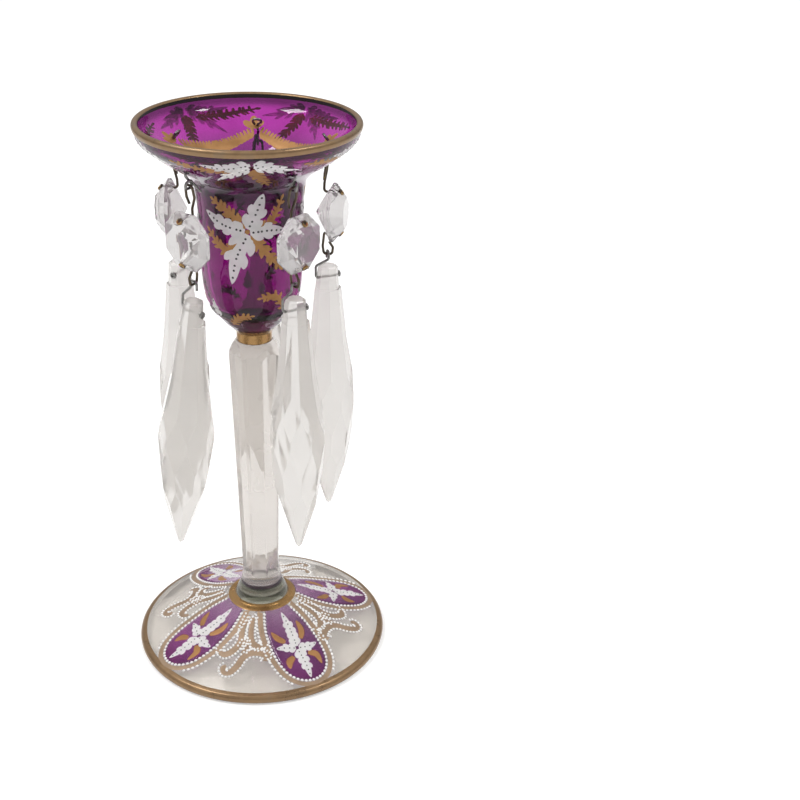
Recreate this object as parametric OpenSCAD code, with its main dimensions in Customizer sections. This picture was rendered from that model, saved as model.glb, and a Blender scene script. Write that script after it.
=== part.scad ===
// Mantel lustre: a spread glass foot, a faceted glass stem and a flared amethyst bowl.
// Five drops hang on wires through the bowl, each an octagon bead over a spear prism.
// Sizes are in millimetres, Z is up and the front faces -Y.
// The origin is the centre of the ring that the foot stands on.

/* [Foot] */
// Radius of the foot at its edge
foot_r = 49; // [44:0.5:54]
// Thickness of the foot at its edge
foot_edge = 3.2; // [2.4:0.1:4.2]
// Height of the foot's top where the boss begins
foot_rise = 17.5; // [14:0.5:22]
// Wall of the hollow foot
foot_wall = 3.2; // [2.4:0.1:4.2]
// Width of the flat ring that the foot stands on
foot_land = 3; // [2:0.2:4]
// Radius of the boss at its base
boss_r = 10.6; // [9.6:0.1:12]
// Height of the boss between the foot and the stem
boss_h = 6; // [4.5:0.5:8]

/* [Stem] */
// Height of the stem
stem_h = 106; // [90:1:120]
// Radius where the stem meets the boss, and the boss meets the stem
stem_seat_r = 8.3; // [7.9:0.1:9]
// Distance from the axis to a flat at the stem's thin lower end
stem_low_flat = 6.7; // [6:0.1:7]
// Distance from the axis to a flat at the stem's thick upper end
stem_top_flat = 9.2; // [8.4:0.1:10]
// Height of the rounded shoulder above the flats
stem_shoulder = 5.5; // [4:0.5:7]
// Flats cut around the stem
stem_sides = 8; // [6:1:10]

/* [Bowl] */
// Radius of the neck, and of the stem's top face that it stands on
neck_r = 6.4; // [5.6:0.1:7]
// Height of the plain neck
neck_h = 5; // [3:0.5:7]
// Height of the bowl from the stem to the rim
bowl_h = 80.6; // [78:0.2:86]
// Radius of the cup halfway up
cup_r = 17.6; // [16.4:0.2:18.4]
// Height of the cup up to the flare
cup_h = 56; // [53:0.5:57.5]
// Radius of the flared rim
rim_r = 39; // [37.5:0.5:41]
// Thickness of the bowl's glass
bowl_wall = 2.4; // [1.8:0.1:3]
// Diameter of the holes that the drops hang from
hang_bore = 2.4; // [2:0.1:3]
// Radius of the ring of holes on the underside of the flare
hang_bore_r = 30; // [29:0.2:31]

/* [Drops] */
// Radius of the circle that the drops hang on
hang_r = 29.3; // [28.6:0.1:30]
// Distance from the underside of the flare down to the hook's bottom
hook_drop = 5.4; // [5:0.1:6.5]
// Thickness of the wire
wire_d = 0.9; // [0.7:0.05:1]
// Free play between a wire loop and the wire that it hangs on
link_gap = 0.25; // [0.15:0.05:0.4]
// Distance from the hook down to the bead's upper bore
upper_reach = 10.4; // [9.6:0.1:12]
// Distance from the bead's lower bore down to the bottom of its loop
lower_reach = 8.3; // [7.6:0.1:10]
// Distance from that loop down to the prism's bore
bail_reach = 8.3; // [8:0.1:10]
// Diameter of the pins' heads
pin_head_d = 2.5; // [1.8:0.1:2.8]

/* [Octagon bead] */
// Width of the bead across its flats
bead_w = 19.5; // [17:0.5:21]
// Width of the flat table on the bead's outer face across its flats
bead_table_w = 10.4; // [8:0.2:12]
// Height of the bevels between girdle and table
bead_crown_h = 4; // [2.5:0.1:5]
// Thickness of the girdle
bead_girdle = 1.2; // [0.8:0.1:2]
// Depth of the point on the bead's inner face
bead_point_h = 5.6; // [4:0.1:6.4]
// Distance from the bead's centre to each bore
bead_bore_off = 7.5; // [6.4:0.1:7.6]
// Play of a pin in its bore, on the radius
pin_play = 0.08; // [0.05:0.01:0.1]
// Distance of the girdle outwards from the hanging line
bead_out = 2; // [1.8:0.1:2.4]

/* [Spear prism] */
// Length of the prism
prism_l = 100; // [80:1:110]
// Width of the prism at its belly
prism_w = 18.5; // [15:0.5:19.5]
// Distance from the top of the prism down to the middle of its belly
belly_at = 54; // [52:0.5:56]
// Height of the belly, where the prism is widest
belly_h = 14; // [10:0.5:16]
// Distance from the top of the prism down to its waist, where the facets flare
waist_at = 29; // [27:0.5:31]
// Width of the prism at its waist across its flats
waist_w = 12.8; // [12.2:0.1:13.4]
// Distance from the top of the prism down to where its point begins
point_at = 78; // [74:0.5:80]
// Width of the prism where its point begins across its flats
point_w = 14; // [13:0.2:15]
// Width of the drilled head across its flats
head_w = 7.6; // [6.6:0.1:8.4]
// Height of the drilled head
head_h = 8.4; // [7:0.2:10]
// Distance from the top of the head down to its bore
head_bore_at = 4; // [3:0.1:4.4]
// Width at the top of the long facets across their flats
shank_w = 9; // [8.6:0.1:10]

/* [How the drops hang] */
// Sideways lean of the prism at the front left, in degrees
lean_left = 5.5; // [0:0.5:7]
// Outward swing of the prism at the front left, in degrees
swing_left = 2.2; // [0:0.1:4]
// How much lower the prism at the front left hangs
hang_low = 1.9; // [0:0.1:2.5]
// Turn of the bead at the front right, in degrees
turn_bead = 15; // [0:1:20]
// Turn of the bead on the left, in degrees
turn_bead_left = 20; // [0:1:25]
// Turn of the bead on the right, in degrees
turn_bead_right = 26; // [0:1:30]
// Turn of the prism on the right, in degrees
turn_prism = 75; // [0:5:80]
// How much further in the drop on the right hangs
hang_in = 1.5; // [0:0.1:2]

/* [Hidden] */
$fn = 48;

// Drops are counted from the back, turning left as seen from above
drops = 5;
drop_turn = [for (i = [1:drops]) 90 + (i - 1) * 360 / drops];
lean = [0, 0, -lean_left, 0, 0];
bead_turn = [0, turn_bead_left, 0, turn_bead, -turn_bead_right];
prism_turn = [0, 0, 0, 0, -turn_prism];
swing = [0, 0, swing_left, 0, 0];
bail = [for (i = [1:drops]) bail_reach + (i == 3 ? hang_low : 0)];
drop_r = [for (i = [1:drops]) hang_r - (i == drops ? hang_in : 0)];

// Heights of the seats
stem_z = foot_rise + boss_h;
bowl_z = stem_z + stem_h;

// Shares of a wire's own size
wire_r = wire_d / 2;
bend_r = 1.33 * wire_d;
seat_play = 0.055 * wire_d;

// A smooth curve through the points k, with n steps between neighbours
function blend(a, b, c, d, t) =
    b + t * (c - a) / 2 + t * t * (a - 2.5 * b + 2 * c - d / 2)
    + t * t * t * (1.5 * b - a / 2 - 1.5 * c + d / 2);
function curve(k, n) = let (e = len(k) - 1) [
    for (i = [0:e - 1], j = [0:n - 1])
        blend(k[max(i - 1, 0)], k[i], k[i + 1], k[min(i + 2, e)], j / n),
    k[e]];
// The direction square to the curve p at its point i, to the right of its run
function square_to(p, i) =
    let (d = p[min(i + 1, len(p) - 1)] - p[max(i - 1, 0)]) [d[1], -d[0]] / norm(d);
function arc(c, r, a, b, n) = [for (i = [0:n]) c + r * [cos(a + (b - a) * i / n), sin(a + (b - a) * i / n)]];

// Outside of the bowl: neck, cup, the hollow under the flare, and the flare up to its rim
flare_h = bowl_h - cup_h;
flare_mid = [hang_bore_r, bowl_z + cup_h + 0.5366 * flare_h];
bowl_keys = [
    [neck_r, bowl_z + 0.7 * neck_h],
    [0.18 * cup_r + 0.91 * neck_r, bowl_z + neck_h + 0.061 * cup_h],
    [0.818 * cup_r, bowl_z + neck_h + 0.2143 * cup_h],
    [cup_r, bowl_z + 0.6786 * cup_h],
    [1.074 * cup_r, bowl_z + cup_h],
    [1.2045 * cup_r, bowl_z + cup_h + 0.268 * flare_h],
    flare_mid,
    [0.9436 * rim_r, bowl_z + bowl_h - 0.24 * flare_h],
    [rim_r, bowl_z + bowl_h - bowl_wall / 2]];
bowl_steps = 4;
bowl_out = curve(bowl_keys, bowl_steps);
bowl_in = [for (i = [len(bowl_out) - 1:-1:2 * bowl_steps])
    bowl_out[i] - bowl_wall * square_to(bowl_out, i)];
bowl_foot_in = bowl_in[len(bowl_in) - 1];
cup_floor = bowl_z + neck_h + 2.5 * bowl_wall;

// The hole in the flare: its lower mouth, and its direction down and out
hole_at = flare_mid;
hole_way = square_to(bowl_out, 6 * bowl_steps);

// Heights along a drop
hook_z = hole_at[1] - hook_drop;
bead_z = hook_z - upper_reach - bead_bore_off;
loop_z = bead_z - bead_bore_off - lower_reach;

// Bead faces, measured outwards from the hanging line
bead_flat = bead_w / 2;
bead_front = bead_out + bead_girdle / 2;
bead_back = bead_out - bead_girdle / 2;
bevel = atan(bead_crown_h / (bead_flat - bead_table_w / 2));
bore_front = bead_front + (bead_flat - bead_bore_off) * tan(bevel);
bore_back = bead_back - (bead_flat - bead_bore_off) * bead_point_h / bead_flat;
// Where a pin turns up or down behind the bead
pin_turn_u = bore_back - bend_r - 0.22 * wire_d;

function unit(v) = v / norm(v);
half_turn = 180;
function corner(n) = 1 / cos(half_turn / n);
// The cut drops have eight sides, turned so that a flat faces outwards
cut_sides = 8;
cut_turn = half_turn / cut_sides;

// A straight round bar from a to b
module bar(a, b, d) {
    z = unit(b - a);
    x = unit(cross(abs(z[2]) > 0.7 ? [1, 0, 0] : [0, 0, 1], z));
    y = cross(z, x);
    multmatrix([[x[0], y[0], z[0], a[0]], [x[1], y[1], z[1], a[1]], [x[2], y[2], z[2], a[2]]])
        cylinder(d = d, h = norm(b - a));
}

// A round bend that starts at a, runs along f and turns by t degrees towards g
module bend(a, f, g, r, t, d) {
    c = a + r * g;
    x = -g;
    z = cross(x, f);
    multmatrix([[x[0], f[0], z[0], c[0]], [x[1], f[1], z[1], c[1]], [x[2], f[2], z[2], c[2]]])
        rotate_extrude(angle = t)
            translate([r, 0])
                circle(d = d);
}

// A wire through the points p, bent at each inner point to the radius in r.
// A bend is a hair thicker than the straights that run into its ends.
module wire(p, r) {
    n = len(p) - 1;
    f = [for (i = [0:n - 1]) unit(p[i + 1] - p[i])];
    t = [for (i = [0:n]) i == 0 || i == n ? 0 : acos(f[i - 1] * f[i])];
    cut = [for (i = [0:n]) r[i] * tan(t[i] / 2)];
    sink = 0.08 * wire_d;
    for (i = [0:n - 1]) {
        bar(p[i] + f[i] * (cut[i] - (i == 0 ? 0 : sink)),
            p[i + 1] - f[i] * (cut[i + 1] - (i == n - 1 ? 0 : sink)), wire_d);
    }
    for (i = [1:n - 1]) {
        g = unit(f[i] - f[i - 1] * (f[i] * f[i - 1]));
        bend(p[i] - f[i - 1] * cut[i], f[i - 1], g, r[i], t[i], 1.03 * wire_d);
    }
}

// A pin's head with a raised rim, its seat at z = 0 and its top along +Z
module pin_head() {
    h = 0.32 * pin_head_d;
    k = pin_head_d / 2;
    rotate_extrude()
        polygon(concat([[0, seat_play], [0.9 * k, seat_play]],
            arc([0.72 * k, 0.5 * h + seat_play], 0.28 * k, -40, 150, 8),
            [[0.35 * k, 0.42 * h], [0, 0.42 * h]]));
}

// Puts a piece on the hanging line of drop i, at height z, facing outwards
module at_drop(i, z) {
    rotate([0, 0, drop_turn[i - 1]])
        translate([drop_r[i - 1], 0, z])
            children();
}

// Tilts and turns a piece on the loop under the bead of drop i
module below_bead(i) {
    at_drop(i, loop_z)
        rotate([lean[i - 1], 0, 0])
            children();
}

// A solid cut by n flats, from the distance a at z0 to the distance b at z1
module flats(n, z0, a, z1, b, turn = 0) {
    rotate([0, 0, turn])
        translate([0, 0, z0])
            cylinder(h = z1 - z0, r1 = a * corner(n), r2 = b * corner(n), $fn = n);
}

module foot() {
    edge_in = 0.3 * foot_edge;
    top = curve([[foot_r - edge_in, foot_edge], [0.6 * foot_r, foot_edge + 0.47 * (foot_rise - foot_edge)],
        [1.2 * boss_r, foot_rise]], 4);
    below = [for (i = [len(top) - 2:-1:1]) top[i] + foot_wall * square_to(top, i) * -1];
    land_in = foot_r - edge_in - foot_land;
    color([0.86, 0.85, 0.83, 0.6])
        rotate_extrude($fn = 96)
            polygon(concat(
                [[land_in, 0], [foot_r - edge_in, 0]],
                [[foot_r - 0.25 * edge_in, 0.22 * foot_edge], [foot_r, 0.5 * foot_edge]],
                [[foot_r - 0.25 * edge_in, 0.78 * foot_edge]],
                top,
                [[boss_r, foot_rise + 0.035 * boss_h]],
                curve([[0.97 * boss_r, foot_rise + 0.3 * boss_h],
                    [0.5 * (boss_r + stem_seat_r), foot_rise + 0.65 * boss_h],
                    [stem_seat_r, stem_z]], 3),
                [[0, stem_z], [0, foot_rise - foot_wall]],
                [for (p = below) if (p[0] > boss_r && p[0] < land_in - foot_wall) p]));
}

module stem() {
    flare_h = 1.5 * stem_seat_r;
    flats_z = 0.3 * stem_seat_r;
    top_r = neck_r + 0.3;
    cut_r = stem_top_flat * corner(stem_sides);
    color([0.87, 0.86, 0.85, 0.6])
        translate([0, 0, stem_z]) {
            intersection() {
                flats(stem_sides, flats_z, stem_low_flat, stem_h, stem_top_flat, half_turn / stem_sides);
                rotate_extrude($fn = 96)
                    polygon([[0, 0], [cut_r + 1, 0], [cut_r + 1, stem_h - 1.25 * stem_shoulder],
                        [cut_r, stem_h - stem_shoulder], [0.45 * cut_r + 0.55 * top_r, stem_h - 0.32 * stem_shoulder],
                        [top_r, stem_h], [0, stem_h]]);
            }
            rotate_extrude($fn = 96)
                polygon(concat([[0, 0]],
                    curve([[stem_seat_r, 0], [stem_seat_r - 0.25, 0.12 * flare_h],
                        [0.45 * stem_seat_r + 0.55 * stem_low_flat, 0.4 * flare_h],
                        [stem_low_flat, 0.8 * flare_h], [0.97 * stem_low_flat, flare_h]], 3),
                    [[0, flare_h]]));
        }
}

module bowl() {
    lip = bowl_out[len(bowl_out) - 1];
    lip_in = bowl_in[0];
    lip_mid = (lip + lip_in) / 2;
    lip_a = atan2(lip[1] - lip_mid[1], lip[0] - lip_mid[0]);
    fall = bowl_foot_in[1] - cup_floor;
    color([0.47, 0.05, 0.45, 0.8])
        difference() {
            rotate_extrude($fn = 96)
                polygon(concat(
                    [[0, bowl_z], [neck_r, bowl_z], [0.98 * neck_r, bowl_z + 0.35 * neck_h]],
                    bowl_out,
                    [for (q = arc(lip_mid, bowl_wall / 2, lip_a, lip_a + half_turn, 8)) q],
                    [for (i = [1:len(bowl_in) - 1]) bowl_in[i]],
                    [for (a = [18:18:90]) [bowl_foot_in[0] * cos(a), bowl_foot_in[1] - fall * sin(a)]]));
            for (a = drop_turn) {
                rotate([0, 0, a])
                    translate([hole_at[0], 0, hole_at[1]])
                        rotate([0, atan2(hole_way[0], hole_way[1]), 0])
                            cylinder(d = hang_bore, h = 6 * bowl_wall, center = true);
            }
        }
}

// Wire from an eye inside the bowl, down through the hole, to a coil with a loose tail
module hanger(i) {
    way = [hole_way[0], 0, hole_way[1]];
    mouth = [hole_at[0] - drop_r[i - 1], 0, hook_drop];
    side = [0, 1, 0];
    eye = wire_d * [[1.11, 0.72], [1.78, 2.22], [1.33, 3.89], [-1.33, 3.89], [-1.78, 2.22], [0, 0.61]];
    above = [for (e = eye) mouth - way * (bowl_wall + e[1]) + side * e[0]];
    hook_w = 1.4 * wire_d + link_gap;
    rise = wire_d + link_gap;
    below = [mouth + way * 1.22 * wire_d,
        [-hook_w, 0, 1.2 * rise], [-0.9 * hook_w, 0, 0], [0.9 * hook_w, 0, 0],
        [hook_w, 0.4 * wire_d, 1.7 * rise], [0, wire_d, 2.75 * rise], [-2.9 * hook_w, 1.1 * wire_d, -1.7 * rise]];
    color([0.27, 0.27, 0.28])
        at_drop(i, hook_z)
            wire(concat(above, below),
                wire_d * [0, 1.33, 1.22, 1.22, 1.11, 0.89, 0.89, 1, 1, 1, 1, 1, 0]);
}

// Headed pin through the bead, bent up into a long loop on the hanger
module upper_pin(i) {
    top = wire_d + link_gap;
    w = 1.6 * wire_d + link_gap;
    base = -upper_reach;
    color([0.42, 0.36, 0.24])
        at_drop(i, hook_z)
            rotate([0, 0, bead_turn[i - 1]]) {
                wire([[bore_front + 0.39 * wire_d, 0, base], [pin_turn_u, 0, base],
                    [0.9 * pin_turn_u, 0, 0.7 * base], [0.5 * pin_turn_u, 1.1 * w, 0.3 * base],
                    [0, 0.9 * w, top], [0, -0.9 * w, top], [0.5 * pin_turn_u, -1.1 * w, 0.3 * base],
                    [0.8 * pin_turn_u, -0.6 * w, 0.55 * base]],
                    [0, bend_r, 1.35 * bend_r, 2 * bend_r, bend_r, bend_r, 2 * bend_r, 0]);
                translate([bore_front, 0, base])
                    rotate([0, 90 - bevel, 0])
                        pin_head();
            }
}

// Cut octagon with a flat table outwards, a point inwards and two bores
module octagon(i) {
    low = bead_back - bead_point_h;
    high = bead_front + bead_crown_h;
    table = bead_table_w / 2;
    blunt = 0.08 * bead_flat;
    color([0.88, 0.87, 0.87, 0.6])
        at_drop(i, bead_z)
            rotate([0, 0, bead_turn[i - 1]])
                rotate([0, 90, 0])
                    difference() {
                        intersection() {
                            flats(cut_sides, low, bead_flat, high, bead_flat, cut_turn);
                            flats(cut_sides, low, table + (high - low) * tan(90 - bevel), high, table, cut_turn);
                            flats(cut_sides, low, blunt, high,
                                blunt + (high - low) * (bead_flat - blunt) / bead_point_h, cut_turn);
                            flats(cut_sides, low, 0.25 * blunt, high,
                                0.25 * blunt + (high - low) * 1.1 * bead_flat / bead_point_h, 0);
                        }
                        for (s = [-1, 1]) {
                            translate([s * bead_bore_off, 0, bead_out])
                                rotate([0, 0, 1.7 * cut_turn])
                                    cylinder(r = wire_r + pin_play, h = 4 * (bead_crown_h + bead_point_h), center = true);
                        }
                    }
}

// Headed pin through the bead, bent down into a loop for the prism's pin
module lower_pin(i) {
    w = 1.4 * wire_d + link_gap;
    color([0.36, 0.34, 0.3])
        at_drop(i, loop_z)
            rotate([0, 0, bead_turn[i - 1]]) {
                wire([[bore_front + 0.39 * wire_d, 0, lower_reach], [pin_turn_u, 0, lower_reach],
                    [-1.25 * w, 0, 0.36 * lower_reach], [-w, 0, 0], [w, 0, 0],
                    [1.25 * w, 0, 0.32 * lower_reach], [0.3 * w, 0, 0.58 * lower_reach]],
                    [0, bend_r, 2 * bend_r, bend_r, bend_r, bend_r, 0]);
                translate([bore_front, 0, lower_reach])
                    rotate([0, 90 + bevel, 0])
                        pin_head();
            }
}

// Headed pin through the prism's head, bent up over it into a hook
module prism_pin(i) {
    k = wire_d + link_gap;
    out = head_w / 2 + 1.33 * wire_d;
    side = [sin(prism_turn[i - 1]), -cos(prism_turn[i - 1]), 0];
    up = [0, 0, 1];
    color([0.3, 0.3, 0.31])
        below_bead(i) {
            wire([[0, 1.4 * k, -1.6 * k], [0, 1.2 * k, k], [0, -1.2 * k, k], [0, -1.2 * k, -1.3 * k],
                side * out - up * (bail[i - 1] - head_bore_at - 0.67 * wire_d), side * out - up * bail[i - 1],
                side * (-head_w / 2 - 0.67 * wire_d) - up * bail[i - 1]],
                [0, bend_r, bend_r, bend_r, bend_r, bend_r, 0]);
            translate(side * (-head_w / 2 - link_gap) - up * bail[i - 1])
                rotate([90, 0, prism_turn[i - 1] + 180])
                    pin_head();
        }
}

// Spear prism: a drilled head, long facets to a waist, a wide belly, and facets down to the point
module prism(i) {
    head_low = head_bore_at - head_h;
    tip = head_bore_at - prism_l;
    half = prism_w / 2;
    waist = waist_w / 2;
    point = point_w / 2;
    waist_z = head_bore_at - waist_at;
    belly_top = head_bore_at - belly_at + belly_h / 2;
    belly_low = belly_top - belly_h;
    point_z = head_bore_at - point_at;
    body_top = waist_z + 0.12 * waist_at;
    widen = (waist - shank_w / 2) / (head_low - waist_z);
    flare = (half - waist) / (waist_z - belly_top);
    taper = (half - point) / (belly_low - point_z);
    blunt = 0.09 * shank_w;
    sharpen = (point - blunt) / (point_z - tip);
    chamfer = 0.08 * head_w;
    sink = 0.12 * head_h;
    tall = body_top - tip;
    color([0.86, 0.85, 0.84, 0.6])
        below_bead(i)
            translate([0, 0, -bail[i - 1]])
                rotate([0, -swing[i - 1], prism_turn[i - 1]])
                    difference() {
                        union() {
                            flats(cut_sides, head_low - sink, head_w / 2, head_bore_at - chamfer, head_w / 2, cut_turn);
                            flats(cut_sides, head_bore_at - chamfer, head_w / 2, head_bore_at, head_w / 2 - chamfer, cut_turn);
                            flats(cut_sides, belly_top, shank_w / 2 + widen * (head_low - belly_top),
                                head_low, shank_w / 2, cut_turn);
                            intersection() {
                                flats(cut_sides, tip, waist + flare * (waist_z - tip), body_top,
                                    waist - flare * (body_top - waist_z), cut_turn);
                                flats(cut_sides, tip, half, body_top, half, 0);
                                flats(cut_sides, tip, point - taper * (point_z - tip), body_top,
                                    half + taper * (body_top - belly_low), cut_turn);
                                flats(cut_sides, tip, blunt, body_top, blunt + sharpen * tall, 0);
                                flats(cut_sides, tip, 0.4 * blunt, body_top, 0.4 * blunt + 0.9 * tall, cut_turn);
                            }
                        }
                        rotate([90, 0, 0])
                            cylinder(r = wire_r + pin_play, h = 2 * head_w, center = true);
                    }
}

module hanger_1() { hanger(1); }
module hanger_2() { hanger(2); }
module hanger_3() { hanger(3); }
module hanger_4() { hanger(4); }
module hanger_5() { hanger(5); }
module upper_pin_1() { upper_pin(1); }
module upper_pin_2() { upper_pin(2); }
module upper_pin_3() { upper_pin(3); }
module upper_pin_4() { upper_pin(4); }
module upper_pin_5() { upper_pin(5); }
module octagon_1() { octagon(1); }
module octagon_2() { octagon(2); }
module octagon_3() { octagon(3); }
module octagon_4() { octagon(4); }
module octagon_5() { octagon(5); }
module lower_pin_1() { lower_pin(1); }
module lower_pin_2() { lower_pin(2); }
module lower_pin_3() { lower_pin(3); }
module lower_pin_4() { lower_pin(4); }
module lower_pin_5() { lower_pin(5); }
module prism_pin_1() { prism_pin(1); }
module prism_pin_2() { prism_pin(2); }
module prism_pin_3() { prism_pin(3); }
module prism_pin_4() { prism_pin(4); }
module prism_pin_5() { prism_pin(5); }
module prism_1() { prism(1); }
module prism_2() { prism(2); }
module prism_3() { prism(3); }
module prism_4() { prism(4); }
module prism_5() { prism(5); }

foot();
stem();
bowl();
hanger_1();
hanger_2();
hanger_3();
hanger_4();
hanger_5();
upper_pin_1();
upper_pin_2();
upper_pin_3();
upper_pin_4();
upper_pin_5();
octagon_1();
octagon_2();
octagon_3();
octagon_4();
octagon_5();
lower_pin_1();
lower_pin_2();
lower_pin_3();
lower_pin_4();
lower_pin_5();
prism_pin_1();
prism_pin_2();
prism_pin_3();
prism_pin_4();
prism_pin_5();
prism_1();
prism_2();
prism_3();
prism_4();
prism_5();
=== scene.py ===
import math
import random

import bmesh
import bpy
from mathutils import Matrix, Vector


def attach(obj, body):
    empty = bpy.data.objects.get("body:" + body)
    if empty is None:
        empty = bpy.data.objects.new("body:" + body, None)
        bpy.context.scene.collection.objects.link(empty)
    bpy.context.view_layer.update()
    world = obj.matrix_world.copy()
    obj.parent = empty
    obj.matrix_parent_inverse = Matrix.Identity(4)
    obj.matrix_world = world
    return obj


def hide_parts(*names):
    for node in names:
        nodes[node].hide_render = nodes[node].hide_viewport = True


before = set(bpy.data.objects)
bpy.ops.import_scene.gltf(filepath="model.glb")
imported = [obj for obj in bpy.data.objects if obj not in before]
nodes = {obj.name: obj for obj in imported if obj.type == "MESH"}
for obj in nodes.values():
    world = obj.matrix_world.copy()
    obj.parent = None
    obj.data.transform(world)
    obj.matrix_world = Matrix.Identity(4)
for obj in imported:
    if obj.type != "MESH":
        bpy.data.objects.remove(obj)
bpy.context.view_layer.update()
rng = random.Random(11)  # leans the ferns' leaflets
MM = 0.001  # profiles and drawings are in mm, the scene is in metres

# The five drops: where their holes are round the bowl and how far their beads are turned, in degrees
DROPS = range(1, 6)
HOLE_FIRST, HOLE_GAP = 90, 72
HOLE_TURN = [HOLE_FIRST + HOLE_GAP * i for i in range(len(DROPS))]
BEAD_TURN = [0, 20, 0, 15, -26]


# ---------------------------------------------------------------- materials

NOISE_LOW, NOISE_HIGH = 0.3, 0.7  # nearly all of a noise lies between these
CLOUD_SCALE = 45  # of the cloudy tint in glass
WEAR = (5.0, 0.6)  # detail and roughness of the noise that wears metal
METAL_RELIEF = 0.15
WAVE_DETAIL, GRAIN_DETAIL = 1.0, 2.0  # of the noise in the relief of glass, and of metal and enamel
GRAIN_FINER, BRUSH_FINER = 4, 2.5  # how much finer the relief is than the patches of colour
GLASS_WAVE, METAL_GRAIN, BRUSH_MARK = 0.0004, 0.0001, 0.0002  # depths of relief, in metres
ENAMEL_ROUGH, ENAMEL_RELIEF, ENAMEL_IOR = 0.4, 0.3, 1.45


def material(name):
    """A new node material, its tree, its Principled shader and its output."""
    mat = bpy.data.materials.new(name)
    mat.use_nodes = True
    tree = mat.node_tree
    tree.nodes.clear()
    out = tree.nodes.new("ShaderNodeOutputMaterial")
    shader = tree.nodes.new("ShaderNodeBsdfPrincipled")
    tree.links.new(shader.outputs["BSDF"], out.inputs["Surface"])
    return mat, tree, shader, out


def noise(tree, scale, detail=3.0, rough=0.5):
    """Noise by the object's own coordinates, in metres."""
    place = tree.nodes.new("ShaderNodeTexCoord")
    n = tree.nodes.new("ShaderNodeTexNoise")
    n.inputs["Scale"].default_value = scale
    n.inputs["Detail"].default_value = detail
    n.inputs["Roughness"].default_value = rough
    tree.links.new(place.outputs["Object"], n.inputs["Vector"])
    return n.outputs["Fac"]


def ramp(tree, fac, stops):
    """Colours over a factor, each stop being a place and a colour."""
    r = tree.nodes.new("ShaderNodeValToRGB")
    marks = r.color_ramp.elements
    while len(marks) < len(stops):
        marks.new(0.5)
    for mark, (at, colour) in zip(marks, stops):
        mark.position = at
        mark.color = (*colour, 1)
    tree.links.new(fac, r.inputs["Fac"])
    return r.outputs["Color"]


def spread(tree, fac, low, high):
    """A noise spread from low to high."""
    m = tree.nodes.new("ShaderNodeMapRange")
    m.inputs["From Min"].default_value = NOISE_LOW
    m.inputs["From Max"].default_value = NOISE_HIGH
    m.inputs["To Min"].default_value = low
    m.inputs["To Max"].default_value = high
    tree.links.new(fac, m.inputs["Value"])
    return m.outputs["Result"]


def reach(tree, way):
    """How far a place lies in a direction, by the object's own coordinates, in metres."""
    place = tree.nodes.new("ShaderNodeTexCoord")
    dot = tree.nodes.new("ShaderNodeVectorMath")
    dot.operation = "DOT_PRODUCT"
    dot.inputs[1].default_value = way
    tree.links.new(place.outputs["Object"], dot.inputs[0])
    return dot.outputs["Value"]


def from_axis(tree):
    """How far a place lies from the upright axis, by the object's own coordinates, in metres."""
    place = tree.nodes.new("ShaderNodeTexCoord")
    flat = tree.nodes.new("ShaderNodeVectorMath")
    flat.operation = "MULTIPLY"
    flat.inputs[1].default_value = (1, 1, 0)
    tree.links.new(place.outputs["Object"], flat.inputs[0])
    length = tree.nodes.new("ShaderNodeVectorMath")
    length.operation = "LENGTH"
    tree.links.new(flat.outputs["Vector"], length.inputs[0])
    return length.outputs["Value"]


def tint_by(tree, colour, axis, low, high, stops):
    """A colour times the stops' colours over the height or the radius, from low to high in metres."""
    m = tree.nodes.new("ShaderNodeMapRange")
    m.inputs["From Min"].default_value = low
    m.inputs["From Max"].default_value = high
    far = reach(tree, (0, 0, 1)) if axis == "height" else from_axis(tree)
    tree.links.new(far, m.inputs["Value"])
    mix = tree.nodes.new("ShaderNodeMix")
    mix.data_type = "RGBA"
    mix.blend_type = "MULTIPLY"
    mix.inputs["Factor"].default_value = 1
    tree.links.new(colour, mix.inputs["A"])
    tree.links.new(ramp(tree, m.outputs["Result"], stops), mix.inputs["B"])
    return mix.outputs["Result"]


def bump(tree, shader, fac, strength, distance):
    """Relief by a factor, up to the distance in metres."""
    b = tree.nodes.new("ShaderNodeBump")
    b.inputs["Strength"].default_value = strength
    b.inputs["Distance"].default_value = distance
    tree.links.new(fac, b.inputs["Height"])
    tree.links.new(b.outputs["Normal"], shader.inputs["Normal"])


def glass(name, pale, deep, through, ior, wave, wave_scale=90, rough=0.0, clear=1.0, inside=None,
          by=None):
    """Glass, cloudy from pale to deep and faintly wavy; lamps pass it with the colour through.

    clear is the share that is not milky, inside the colour and density that darken a long way
    through it, and by the tint over height or radius."""
    mat, tree, shader, out = material(name)
    shader.inputs["Transmission Weight"].default_value = clear
    shader.inputs["IOR"].default_value = ior
    shader.inputs["Roughness"].default_value = rough
    colour = ramp(tree, noise(tree, CLOUD_SCALE), [(NOISE_LOW, pale), (NOISE_HIGH, deep)])
    tree.links.new(tint_by(tree, colour, *by) if by else colour, shader.inputs["Base Color"])
    bump(tree, shader, noise(tree, wave_scale, WAVE_DETAIL), wave, GLASS_WAVE)
    lit = tree.nodes.new("ShaderNodeBsdfTransparent")
    lit.inputs["Color"].default_value = (*through, 1)
    mix = tree.nodes.new("ShaderNodeMixShader")
    path = tree.nodes.new("ShaderNodeLightPath")
    tree.links.new(path.outputs["Is Shadow Ray"], mix.inputs["Fac"])
    tree.links.new(shader.outputs["BSDF"], mix.inputs[1])
    tree.links.new(lit.outputs["BSDF"], mix.inputs[2])
    tree.links.new(mix.outputs["Shader"], out.inputs["Surface"])
    if inside:
        dim = tree.nodes.new("ShaderNodeVolumeAbsorption")
        dim.inputs["Color"].default_value = (*inside[0], 1)
        dim.inputs["Density"].default_value = inside[1]
        tree.links.new(dim.outputs["Volume"], out.inputs["Volume"])
    return mat


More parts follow.
